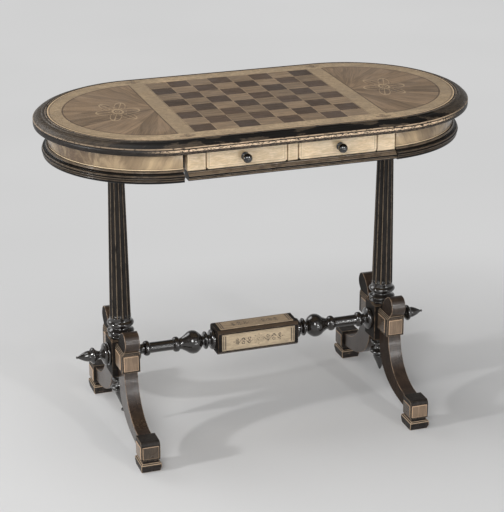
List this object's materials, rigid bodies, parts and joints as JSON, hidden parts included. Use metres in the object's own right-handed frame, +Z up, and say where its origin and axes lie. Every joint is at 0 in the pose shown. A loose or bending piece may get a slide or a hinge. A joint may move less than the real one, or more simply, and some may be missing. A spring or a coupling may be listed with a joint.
{
  "type": "card table",
  "caption": "Round-ended games table with an inlaid top, frieze drawers, swing-out end compartments, fluted columns, scrolled legs and a turned stretcher.",
  "frame": {"origin": "on the floor, under the middle of the top", "axes": "+Z up, +X along the table to its right end, +Y to its back; the drawers open towards -Y"},
  "size_m": [0.9568, 0.5128, 0.733],
  "materials": {
    "pine": "bare, aged secondary wood",
    "ebonized": "black stained and French polished, worn brown at the edges",
    "maple": "pale figured veneer, polished",
    "flamed_veneer": "striped crotch veneer, polished",
    "board_veneer": "light and dark veneer squares, polished",
    "walnut": "dark stained and polished, worn at the edges",
    "brass": "aged"
  },
  "bodies": {
    "stand_and_case": {"top_board": "pine", "top_edge_moulding": "ebonized", "border_band": "maple", "end_panel_left": "flamed_veneer", "end_panel_right": "flamed_veneer", "chessboard_panel": "board_veneer", "base_moulding_back": "ebonized", "base_moulding_front": "ebonized", "case_bottom": "pine", "case_back": "maple", "case_side_left": "walnut", "case_side_right": "walnut", "stile_left": "maple", "stile_right": "maple", "middle_partition": "maple", "bearer_left": "pine", "bearer_right": "pine", "case_hinge_leaf_left": "brass", "case_hinge_leaf_right": "brass", "column_left": "ebonized", "column_right": "ebonized", "post_left": "ebonized", "post_right": "ebonized", "pendant_left": "ebonized", "pendant_right": "ebonized", "finial_left": "ebonized", "finial_right": "ebonized", "stretcher_turning_left": "ebonized", "stretcher_turning_right": "ebonized", "stretcher_box": "walnut", "leg_front_left": "walnut", "leg_front_right": "walnut", "leg_rear_left": "walnut", "leg_rear_right": "walnut", "foot_front_left": "walnut", "foot_front_right": "walnut", "foot_rear_left": "walnut", "foot_rear_right": "walnut"},
    "left_drawer": {"drawer_front_left": "maple", "drawer_inner_side_left": "pine", "drawer_outer_side_left": "pine", "drawer_back_left": "pine", "drawer_bottom_left": "pine", "drawer_knob_left": "ebonized"},
    "right_drawer": {"drawer_front_right": "maple", "drawer_inner_side_right": "pine", "drawer_outer_side_right": "pine", "drawer_back_right": "pine", "drawer_bottom_right": "pine", "drawer_knob_right": "ebonized"},
    "left_end": {"end_frieze_left": "flamed_veneer", "end_base_moulding_left": "ebonized", "end_bottom_left": "pine", "end_inner_side_left": "walnut", "end_hinge_leaf_left": "brass"},
    "right_end": {"end_frieze_right": "flamed_veneer", "end_base_moulding_right": "ebonized", "end_bottom_right": "pine", "end_inner_side_right": "walnut", "end_hinge_leaf_right": "brass"}
  },
  "joints": [
    {"name": "left_drawer_slide", "type": "slide", "parent": "stand_and_case", "child": "left_drawer", "axis": [0, -1, 0], "range_m": [0, 0.3]},
    {"name": "right_drawer_slide", "type": "slide", "parent": "stand_and_case", "child": "right_drawer", "axis": [0, -1, 0], "range_m": [0, 0.3]},
    {"name": "left_end_swing", "type": "hinge", "parent": "stand_and_case", "child": "left_end", "pos_m": [-0.2195, 0.2418, 0.687], "axis": [0, 0, -1], "range_deg": [-0.8, 89.2]},
    {"name": "right_end_swing", "type": "hinge", "parent": "stand_and_case", "child": "right_end", "pos_m": [0.2355, 0.2418, 0.687], "axis": [0, 0, 1], "range_deg": [0, 90]}
  ]
}
